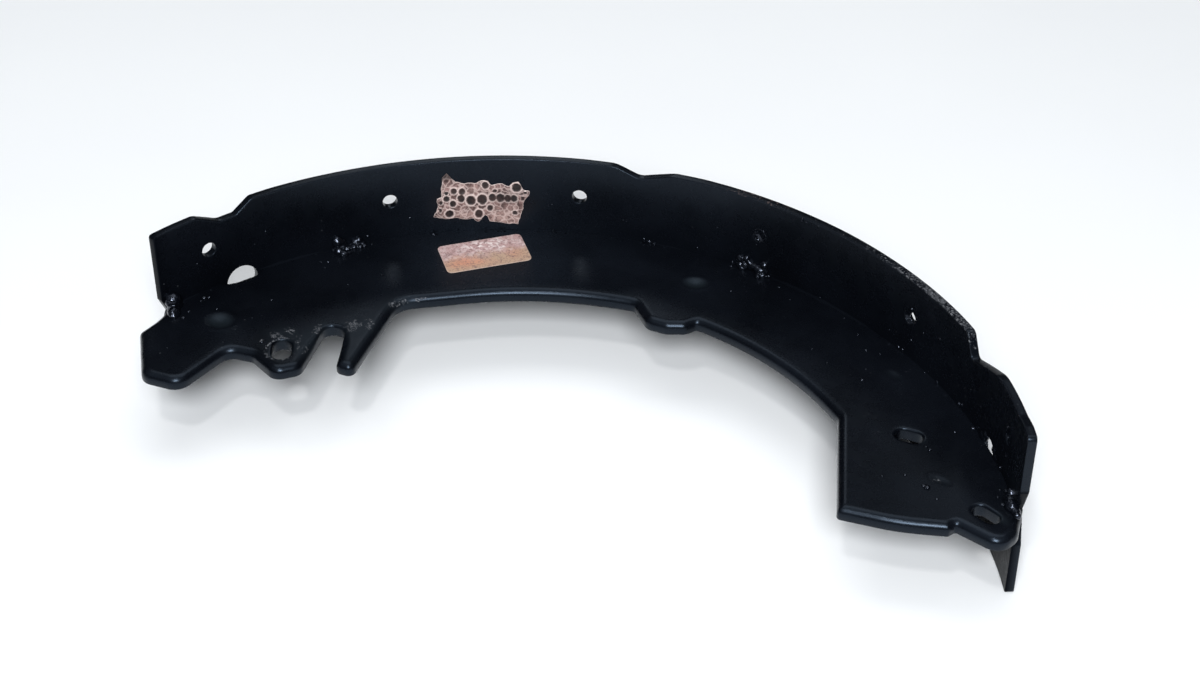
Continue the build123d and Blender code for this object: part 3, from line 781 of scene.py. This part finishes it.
outline = web_outline()
rad = np.hypot(outline[:, 0], outline[:, 1])
on_arc = (rad > R_IN - 1.6) & (np.abs(np.degrees(np.arctan2(outline[:, 0], outline[:, 1]))) < 67.6) & (outline[:, 1] > 50)
arc_angle = np.degrees(np.arctan2(outline[:, 0], outline[:, 1]))
in_hole = on_arc & (np.abs(arc_angle - SEAM_HOLES[0]) < 2.6)
roll = np.where(on_arc, np.where(in_hole, 1.5, 0.12), 2.55)
roll_b = np.where(on_arc, 0.12, 0.30)
for _ in range(5):
    roll = 0.5 * roll + 0.25 * (np.roll(roll, 1) + np.roll(roll, -1))
tight = np.exp(-(((outline[:, 0] + 77.6) / 5.0) ** 2 + ((outline[:, 1] - 61.5) / 7.0) ** 2) ** 2)
roll = roll * (1 - 0.62 * tight)
slots = [stadium(x, y, l, w, t) for x, y, l, w, t in WEB_SLOTS]
web = plate("web_plate", [outline] + slots, [roll, 0.7, 0.8, 0.8], [roll_b, 0.3, 0.3, 0.3], T_WEB + 0.3, web_place, 1.7,
            paint, web_attrs, soft=(3.2, 0.68),
            dense=[(x, y, 6.0) for x, y, *_ in DIMPLES] + [(-87.1, 48.3, 10.0), (-77.0, 62.0, 10.0), (-61.5, 84.0, 9.0)])
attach(web, "root")
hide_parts("shoe_web")


# ------------------------------------------------------------------ paint fillet along the seam
SEAM_FILL = [(-68, 0.35), (-62, 0.30), (-54, 0.35), (-51, 0.62), (-47, 0.45), (-44, 0.15), (-26, 0.12), (-22, 0.30), (-19, 0.15),
             (-6, 0.12), (0, 0.28), (3, 0.12), (12, 0.15), (17, 0.55), (28, 0.55), (32, 0.2), (50, 0.12), (60, 0.3), (68, 0.2)]


def seam_strip(name, a0, a1, below=False):
    """Concave bead of paint where the web meets the wall, closed, with soft ends."""
    n = int((a1 - a0) / 0.5) + 1
    a = np.linspace(a0, a1, n)
    base = polar(R_IN, a, Z_TOP)
    fa, fs = zip(*SEAM_FILL)
    fill = np.interp(a, fa, fs)
    w = fill * (1 + 0.6 * fbm(base, 5.0, 11.0 + below, 3))
    hgt = fill * 0.85 * (1 + 0.6 * fbm(base, 4.0, 13.0 + below, 3))
    end = np.clip(np.minimum(a - a0, a1 - a) / 1.2, 0.12, 1)
    w, hgt = w * end, hgt * end
    cols = []
    for k in range(7):
        t = k / 6
        # from the web, along a concave quarter, up the wall
        x, z = (1 - t) ** 2, t ** 2
        cols.append((-w * x, hgt * z))
    cols += [(np.full(n, 0.12), hgt), (np.full(n, 0.12), np.full(n, -0.12)), (-w, np.full(n, -0.12))]
    sgn, z0 = (-1, Z_TOP - T_WEB) if below else (1, Z_TOP)
    V = np.stack([polar(R_IN + dx, a, z0 + sgn * dz) for dx, dz in cols], 1)
    m = len(cols)
    verts = V.reshape(-1, 3)
    faces = []
    for i in range(n - 1):
        for k in range(m):
            k2 = (k + 1) % m
            faces.append((i * m + k, (i + 1) * m + k, (i + 1) * m + k2, i * m + k2))
    faces.append(tuple(range(m)))
    faces.append(tuple((n - 1) * m + k for k in range(m)))
    o = new_mesh(name, verts, faces, paint_seam)
    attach(o, "root")
    return o


for i, (a0, a1) in enumerate([(-67.2, -62.0), (-53.8, -45.0), (-24.5, -18.0), (-3.0, 2.5), (14.0, 31.0), (60.0, 66.2)]):
    seam_strip(f"seam_paint_top_{i}", a0, a1)
    seam_strip(f"seam_paint_under_{i}", a0, a1, below=True)


# ------------------------------------------------------------------ weld beads and spatter
def lump_mesh(name, balls, mat, voxel=0.20, rough=0.10, seed=3):
    """Union of noisy balls, remeshed to one closed skin. balls: (x, y, z, r) in mm, row frame."""
    bm = bmesh.new()
    rnd = random.Random(seed)
    for x, y, z, r in balls:
        sx, sy, sz = (1 + 0.12 * rnd.uniform(-1, 1) for _ in range(3))
        mat4 = Matrix.Translation((x * MM, y * MM, z * MM)) @ Matrix.Rotation(rnd.uniform(0, 6.28), 4, "Z") @ Matrix.Diagonal((sx, sy, sz, 1))
        bmesh.ops.create_icosphere(bm, subdivisions=3, radius=r * MM, matrix=mat4)
    me = bpy.data.meshes.new(name + "_raw")
    bm.to_mesh(me)
    bm.free()
    raw = bpy.data.objects.new(name + "_raw", me)
    bpy.context.scene.collection.objects.link(raw)
    mod = raw.modifiers.new("skin", "REMESH")
    mod.mode = "VOXEL"
    mod.voxel_size = voxel * MM
    mod2 = raw.modifiers.new("soft", "SMOOTH")
    mod2.factor, mod2.iterations = 0.6, 3
    bpy.context.view_layer.update()
    done = bpy.data.meshes.new_from_object(raw.evaluated_get(bpy.context.evaluated_depsgraph_get()))
    bpy.data.objects.remove(raw)
    co = np.empty(len(done.vertices) * 3)
    done.vertices.foreach_get("co", co)
    co = co.reshape(-1, 3)
    nrm = np.empty(len(done.vertices) * 3, np.float32)
    done.vertex_normals.foreach_get("vector", nrm)
    co += nrm.reshape(-1, 3) * ((fbm(co, 2.2, seed, 2) * rough * 1.9 + fbm(co, 0.8, seed + 1, 2) * rough * 0.9) * MM)[:, None]
    done.vertices.foreach_set("co", co.ravel())
    done.name = name
    done.shade_smooth()
    done.materials.clear()
    done.materials.append(mat)
    o = bpy.data.objects.new(name, done)
    bpy.context.scene.collection.objects.link(o)
    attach(o, "root")
    return o


def lumps(rows):
    """Balls half sunk into the surface that each picture point meets: (px, py, radius in mm)."""
    out = []
    for px, py, r in rows:
        kind, p, q = hit(px, py)
        if kind == "web":
            c = np.array([p, Y_AXIS + q, Z_TOP + 0.20 * r])
        else:
            c = polar(R_IN - 0.25 * r, p, max(q, Z_TOP)) / MM
        out.append((float(c[0]), float(c[1]), float(c[2]), 1.36 * r))
    return out


WELDS = {
    "weld_left": [(337, 241, 1.5), (340, 245, 1.3), (337.5, 248, 1.1), (342, 249, 1.2), (339, 253, 1.1), (344, 255, 1.1), (345, 246, 0.9),
                  (341.5, 240.5, 0.8), (347.5, 249, 0.8), (349.5, 253, 0.6), (355, 242, 1.0), (358.5, 239.5, 1.0), (357, 245, 1.0),
                  (361.5, 243.5, 0.9), (354, 248, 0.8), (360, 247.5, 0.7), (351.5, 246, 0.7), (365, 246, 0.6), (334, 251, 0.6)],
    "weld_right": [(741, 257.5, 1.1), (747, 257.5, 0.8), (740, 263.5, 0.9), (745.5, 264.5, 0.9), (742.3, 269, 0.9), (750, 262, 0.7),
                   (755, 266, 1.0), (758.5, 268.5, 1.2), (762, 270, 1.1), (765.3, 264.5, 1.0), (760, 273.5, 1.1), (757.5, 277, 0.8),
                   (762.5, 276.5, 0.8), (751.5, 266, 0.9), (769, 276, 0.6), (733, 262, 0.6), (766, 270, 0.7)],
    "weld_left_end": [(171.5, 299.5, 1.9), (174.5, 304, 1.6), (172.5, 309, 1.2), (174, 314.5, 1.5), (176, 310, 1.0), (173.5, 317, 0.9)],
    "weld_right_end": [(1010, 503, 1.4), (1011, 508, 1.4), (1014, 510, 1.2), (1007, 500, 1.1), (1016, 513, 1.1), (1018, 516, 0.8),
                       (1012, 492, 0.9), (1006, 492, 0.7), (1008, 497, 1.0), (1013, 499, 0.9), (1010, 495, 0.8)],
}
for seed, (cad, rows) in enumerate(WELDS.items()):
    o = lump_mesh(cad.replace("weld_", "weld_bead_"), lumps(rows), paint_weld, seed=31 + seed)
    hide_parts(cad)

# spatter and nibs under the paint, at measured places: pixel, radius in mm
SPATTER = [(204, 298, 0.9), (189, 311, 0.7), (183, 318, 0.8), (217, 309, 0.5), (252, 318, 0.4), (167, 348, 0.4),
           (271, 300, 0.5), (348, 285, 0.4), (382, 275, 0.4), (262, 342, 0.6), (433, 234, 0.9), (553, 231, 0.8),
           (644, 240, 1.0), (649, 242, 0.9), (654, 244, 0.8), (697, 248, 0.6), (717, 228, 0.5), (802, 221, 0.6),
           (731, 266, 0.6), (731, 291, 0.5), (779, 287, 0.5), (820, 298, 0.5), (827, 363, 0.5), (812, 349, 0.4),
           (858, 334, 0.4), (862, 380, 0.6), (866, 350, 0.5), (866, 369, 0.4), (880, 354, 0.4), (898, 347, 0.8),
           (902, 350, 0.7), (911, 340, 0.5), (940, 339, 0.6), (925, 373, 0.5), (937, 382, 0.5), (959, 404, 0.9),
           (962, 405, 0.6), (973, 428, 0.8), (955, 432, 0.5), (1000, 468, 0.7), (1006, 456, 0.5), (882, 476, 0.5),
           (905, 475, 0.6), (927, 488, 1.1), (924, 486, 0.7), (930, 450, 0.7), (926, 447, 0.6), (937, 499, 0.5),
           (1003, 505, 0.8), (1009, 494, 0.8), (1000, 490, 0.6), (1012, 492, 0.8), (1014, 508, 0.8), (998, 497, 0.5),
           (763.5, 232, 0.55), (758, 240, 0.6), (756.5, 245, 0.35), (912, 309, 0.6), (911, 320, 0.5),
           (1008, 427, 0.5), (1008, 437, 0.5), (321, 262, 0.5), (328, 262, 0.5),
           (372, 244, 0.6), (368, 236, 0.5), (325, 268, 0.5), (889, 330, 0.3), (844, 318, 0.4), (790, 300, 0.4), (802.5, 219, 0.7), (806, 222, 0.5), (209, 297, 0.6), (201, 301, 0.5)]


def nib(bm, centre, normal, r, rr):
    """One low, uneven lump on a surface."""
    q = Vector(normal).to_track_quat("Z", "Y").to_matrix().to_4x4()
    m = Matrix.Translation(centre) @ q @ Matrix.Diagonal((r * MM * rr.uniform(0.85, 1.35), r * MM * rr.uniform(0.85, 1.2), r * MM * rr.uniform(0.55, 0.85), 1))
    made = bmesh.ops.create_icosphere(bm, subdivisions=3, radius=1.0)
    s = rr.uniform(0, 50)
    for v in made["verts"]:
        v.co *= 1 + 0.16 * noise.noise(v.co * 1.7 + Vector((s, 0, 0)))
        v.co = m @ v.co


bm = bmesh.new()
rr = random.Random(5)
for px, py, r in SPATTER:
    kind, p, q = hit(px, py)
    if kind == "web":
        c, nrm = Vector((p * MM, (Y_AXIS + q) * MM, (Z_TOP + 0.02) * MM)), (0, 0, 1)
    else:
        c = Vector(polar(R_IN - 0.02, p, q).tolist())
        nrm = (-math.sin(math.radians(p)), -math.cos(math.radians(p)), 0)
    nib(bm, c, nrm, r * 0.8, rr)
# runs of paint that narrow the right seam hole
for along, upz, r in [(-4.6, 2.6, 1.7), (-3.0, 4.3, 1.5), (4.9, 2.2, 1.6), (3.6, 4.0, 1.2)]:
    a = SEAM_HOLES[1] + along / U
    nib(bm, Vector(polar(R_IN + 0.5, a, Z_MID + upz).tolist()), (-math.sin(math.radians(a)), -math.cos(math.radians(a)), 0), r, rr)


# a few more on the sides the picture does not show
def clear(a, z):
    holes = [(RIVET_SHIFT + (k - 2.5) * RIVET_PITCH, WIDTH / 2 + row * RIVET_ROW, 4.0) for k in range(6) for row in (-1, 1)]
    holes += [(a, Z_MID, 7.2) for a in SEAM_HOLES]
    return all(math.hypot((a - h) * U, z - w) > r for h, w, r in holes)


for k in range(46):
    a, z = rr.uniform(-64, 64), rr.choice([rr.uniform(3, 20), rr.uniform(34, 45)])
    if not clear(a, z):
        continue
    nib(bm, Vector(polar(R_IN - 0.02, a, z).tolist()), (-math.sin(math.radians(a)), -math.cos(math.radians(a)), 0), rr.uniform(0.12, 0.34), rr)
    a, z = rr.uniform(-64, 64), rr.uniform(3, 45)
    if not clear(a, z) or abs(a) < 9:
        continue
    nib(bm, Vector(polar(R_OUT - 0.02, a, z).tolist()), (math.sin(math.radians(a)), math.cos(math.radians(a)), 0), rr.uniform(0.12, 0.36), rr)
me = bpy.data.meshes.new("weld_spatter")
bm.to_mesh(me)
bm.free()
me.shade_smooth()
me.materials.append(paint_weld)
spatter = bpy.data.objects.new("weld_spatter", me)
bpy.context.scene.collection.objects.link(spatter)
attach(spatter, "root")


# ------------------------------------------------------------------ paint films in three rivet holes
def film(name, k, covers, seed):
    """Skin of dried paint across a rivet hole. covers(t) is how far from the rim it reaches, as a share of the radius."""
    a0, z0 = RIVET_SHIFT + (k - 2.5) * RIVET_PITCH, WIDTH / 2 + RIVET_ROW
    R = RIVET_D / 2 + 0.10
    n, m = 48, 9
    t = np.linspace(0, 2 * np.pi, n, endpoint=False)
    cov = np.array([covers(x) for x in t])
    top, bot = [], []
    for j in range(m):
        s = j / (m - 1)
        rho = R * (1 - s * cov)
        x, z = rho * np.cos(t), rho * np.sin(t)
        sag = 0.10 + (0.30 if covers(0.0) > 0.9 else 0.75) * s
        p = polar(R_IN + 0.9, a0, z0 + z)
        bumps = fbm(np.stack([x, z, np.full(n, 0.3 * seed)], -1) * MM, 1.1, seed, 3) * 0.22
        top.append(polar(R_IN + sag + bumps * 0.6 * min(1, 2 * s), a0 + x / U, z0 + z))
        bot.append(polar(R_IN + 1.5 - 0.25 * s + bumps * 0.5, a0 + x / U, z0 + z))
    verts = np.concatenate(top + bot)
    faces = []
    for side in (0, 1):
        for j in range(m - 1):
            for i in range(n):
                b = (side * m + j) * n
                c = b + n
                faces.append((b + i, b + (i + 1) % n, c + (i + 1) % n, c + i))
    for j in (0, m - 1):
        b, c = j * n, (m + j) * n
        for i in range(n):
            faces.append((b + i, b + (i + 1) % n, c + (i + 1) % n, c + i))
    o = new_mesh(name, verts, faces, paint_weld)
    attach(o, "root")
    return o


film("paint_film_fourth_hole", 3, lambda t: 0.985, 41)
film("paint_film_fifth_hole", 4, lambda t: 0.34 + 0.26 * math.cos(t - 2.6) + 0.06 * math.sin(3 * t), 42)
film("paint_film_sixth_hole", 5, lambda t: 0.985, 43)

# ------------------------------------------------------------------ labels
TORN = [(-11.87, 21.83), (-13.33, 20.0), (-13.72, 17.09), (-13.91, 15.63), (-13.73, 13.14), (-15.01, 12.6), (-14.97, 9.95),
        (-16.24, 6.25), (-14.45, 5.4), (-12.51, 4.88), (-9.69, 5.15), (-6.34, 4.59), (-4.09, 4.47), (-2.72, 3.57),
        (-1.58, 4.03), (-0.41, 5.93), (0.47, 4.97), (1.07, 3.44), (4.3, 3.05), (7.1, 2.47), (10.05, 2.3), (10.52, 4.93),
        (11.84, 8.31), (11.59, 9.97), (12.31, 11.32), (13.31, 13.0), (13.76, 14.67), (11.81, 15.11), (11.27, 16.24),
        (10.19, 17.86), (8.51, 17.35), (7.38, 16.35), (5.45, 17.01), (3.79, 17.35), (2.11, 16.72), (0.76, 18.22),
        (-1.18, 18.54), (-3.14, 17.7), (-6.47, 17.7), (-9.22, 18.37), (-10.69, 20.11)]
BLISTERS = [(0.02, 16.77, 1.11, 1.32), (9.73, 15.89, 1.54, 1.6), (-9.89, 15.13, 0.99, 1.18), (-7.26, 14.79, 1.05, 1.25),
            (-7.62, 12.34, 1.17, 1.39), (-12.22, 12.51, 1.0, 1.0), (-10.2, 10.53, 1.06, 1.16), (-4.58, 11.43, 1.5, 1.75),
            (-1.09, 11.68, 1.55, 1.85), (2.13, 12.26, 1.17, 1.39), (4.64, 12.06, 1.34, 1.5), (6.87, 11.89, 1.2, 1.3),
            (8.82, 11.91, 1.07, 1.26), (1.34, 8.46, 0.95, 1.1), (-11.45, 6.9, 1.35, 1.35), (-2.22, 6.4, 1.35, 1.5),
            (2.95, 14.73, 0.72, 0.7), (9.09, 6.58, 0.85, 0.85), (-14.0, 11.2, 0.6, 0.8), (12.4, 14.0, 0.56, 0.5),
            (11.6, 11.9, 0.6, 0.8), (-14.2, 8.4, 0.6, 0.8), (-12.15, 14.49, 0.6, 0.66)]
TORN_A = -23.7


def ragged(p, amp, seed):
    q = densify(np.array(p, float), 0.45)
    n = fbm(np.concatenate([q, np.zeros((len(q), 1))], 1) * MM, 2.2, seed, 3)
    d = np.roll(q, -1, 0) - np.roll(q, 1, 0)
    d /= np.linalg.norm(d, axis=1)[:, None]
    return q + np.stack([d[:, 1], -d[:, 0]], -1) * (n * amp)[:, None]


def blister_fields(u, v):
    hole, lip, bulge = np.zeros(len(u)), np.zeros(len(u)), np.zeros(len(u))
    w = fbm(np.stack([u, v, np.zeros(len(u))], -1) * MM, 1.6, 61, 2) * 0.10
    for x, y, rx, ry in BLISTERS:
        e = np.hypot((u - x) / rx, (v - y) / ry) + w
        hole = np.maximum(hole, np.clip((1.02 - e) / 0.16, 0, 1))
        lip = np.maximum(lip, np.exp(-((e - 1.16) / 0.15) ** 2))
        bulge = np.maximum(bulge, np.exp(-((e - 1.12) / 0.26) ** 2) - 0.6 * (e < 0.9))
    return hole, lip * (1 - hole), bulge


def torn_place(u, v, h, side):
    _, _, bulge = blister_fields(u, v)
    base = polar(R_IN, TORN_A + u / U, Z_TOP + v)
    wob = fbm(base, 55.0, 1.0, 2) * 0.10 + fbm(base, 14.0, 2.0, 2) * 0.018
    edge = np.clip(np.abs(v + T_WEB / 2) / 6.0, 0, 1)
    crumple = np.clip(fbm(base, 3.2, 62, 3), -0.3, 1) * 0.13
    lift = np.where(side < 0.5, 0.17 + 0.20 * np.clip(bulge, -0.2, 1) + crumple, -0.03)
    return polar(R_IN + wob * edge - np.where(side < 0.5, lift - h, -0.03), TORN_A + u / U, Z_TOP + v)


def torn_attrs(uv, h, side, rim, verts):
    u, v = uv[:, 0], uv[:, 1]
    hole, lip, _ = blister_fields(u, v)
    lip = np.maximum(lip, 0.85 * rim)
    peak = np.clip((v - 18.6) / 1.5, 0, 1)
    fade = np.clip(blob(u, v, 5.5, 5.2, 6.5, 2.6) + 0.8 * blob(u, v, -7.5, 6.2, 5.0, 1.6) + 0.5 * blob(u, v, -3, 15.5, 4, 1.8), 0, 1)
    dim = blob(u, v, 6.0, 12.0, 5.5, 2.3)
    return {"hole": np.clip(hole + 0.55 * dim + 0.75 * peak, 0, 1), "lip": lip * (1 - 0.6 * peak), "fade": fade}


torn = plate("torn_label_sheet", [ragged(TORN, 0.35, 60)], [0.06], [0.04], 0.22, torn_place, 0.34, torn_foil(), torn_attrs,
             guard=0.12, levels=2)
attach(torn, "root")
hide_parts("torn_label")

lx, ly = -51.3, 114.9
lt = math.radians(37.5)
LL, LW = 26.8, 15.1
half = np.array([(-LL / 2, -LW / 2), (LL / 2, -LW / 2), (LL / 2, LW / 2), (-LL / 2, LW / 2)])
loop = fillet_path(np.concatenate([[half[0] + (LL / 2, 0)], half[1:], half[:1], [half[0] + (LL / 2, 0)]]), [1.7] * 4, 0.3)
loop = densify(loop[:-1], 0.6)


def label_place(u, v, h, side):
    c, s = math.cos(lt), math.sin(lt)
    x, y = lx + u * c - v * s, ly + u * s + v * c
    base = np.stack([x, Y_AXIS + y, np.full_like(x, Z_TOP)], -1) * MM
    wave = fbm(base, 60.0, 5.0, 2) * 0.07 + fbm(base, 15.0, 6.0, 2) * 0.014
    crease = np.clip(fbm(base, 5.0, 70, 3), -0.4, 1) * 0.035
    z = Z_TOP + wave + np.where(side < 0.5, 0.17 - h + crease, -0.03)
    return np.stack([x * MM, (Y_AXIS + y) * MM, z * MM], -1)


def label_attrs(uv, h, side, rim, verts):
    u, v = uv[:, 0], uv[:, 1]
    return {"across": v / LW + 0.5, "warm": blob(u, v, 0.5, -2.4, 8.5, 3.0) + 0.5 * blob(u, v, -9, -4.0, 4, 2.5),
            "scuff": np.clip(blob(u, v, 1.5, 4.6, 6.5, 1.9) + 0.45 * blob(u, v, 6, 1.6, 6, 1.2) + 0.25 * (v > -1), 0, 1)}


lab = plate("faded_label_sheet", [loop], [0.07], [0.03], 0.18, label_place, 0.8, label_paper(), label_attrs, guard=0.12, levels=2)
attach(lab, "root")
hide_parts("web_label")

# ------------------------------------------------------------------ floor and light
fm = floor_material()
fb = bmesh.new()
bmesh.ops.create_grid(fb, x_segments=8, y_segments=8, size=3.0)
fme = bpy.data.meshes.new("floor")
fb.to_mesh(fme)
fb.free()
fme.materials.append(fm)
floor = bpy.data.objects.new("floor", fme)
bpy.context.scene.collection.objects.link(floor)
floor.location = (0, 0, -0.0001)


def area(name, loc, target, size, size_y, power, color=(1, 1, 1)):
    l = bpy.data.lights.new(name, "AREA")
    l.shape = "RECTANGLE"
    l.size, l.size_y, l.energy, l.color = size, size_y, power, color
    o = bpy.data.objects.new(name, l)
    bpy.context.scene.collection.objects.link(o)
    o.location = loc
    o.rotation_mode = "QUATERNION"
    o.rotation_quaternion = (Vector(target) - Vector(loc)).to_track_quat("-Z", "Y")
    return o


area("soft_key", (0.34, -0.93, 0.86), (0, 0, 0.03), 0.46, 0.34, 17.5, (0.94, 0.97, 1.0))
area("soft_top", (-0.10, 0.32, 1.45), (0, 0, 0), 1.5, 0.9, 7.5, (0.97, 0.985, 1.0))
area("glint", (0.10, -0.62, 1.05), (0, 0, 0.02), 0.08, 0.08, 2.0, (1.0, 1.0, 1.0))
area("back_glow", (-0.377, 0.786, 0.593), (-0.045, 0.03, 0.028), 0.26, 0.30, 0.42, (0.86, 0.93, 1.0))
area("back_glow_right", (0.05, 0.77, 0.68), (0.10, 0.0, 0.028), 0.14, 0.26, 0.09, (0.86, 0.93, 1.0))

# studio surround: dim at the back, brighter overhead and in front
world = bpy.data.worlds.new("studio")
world.use_nodes = True
wt = world.node_tree
bg = wt.nodes["Background"]
geo = wt.nodes.new("ShaderNodeTexCoord")
sep = wt.nodes.new("ShaderNodeSeparateXYZ")
wt.links.new(geo.outputs["Generated"], sep.inputs[0])
toward = math_node(wt, "MULTIPLY", sep.outputs["Y"], -0.90)
level = math_node(wt, "ADD", toward, math_node(wt, "MULTIPLY", sep.outputs["Z"], 0.25))
tone = ramp(wt, level, -0.10, 0.70, 0.05, 0.60)
tone = math_node(wt, "MULTIPLY", tone, ramp(wt, sep.outputs["Z"], 0.40, 0.78, 0.10, 1.0))
bg.inputs[0].default_value = (0.88, 0.94, 1.0, 1)
wt.links.new(tone, bg.inputs[1])
bpy.context.scene.world = world
bpy.context.scene.view_settings.view_transform = "Standard"
bpy.context.scene.view_settings.look = "None"
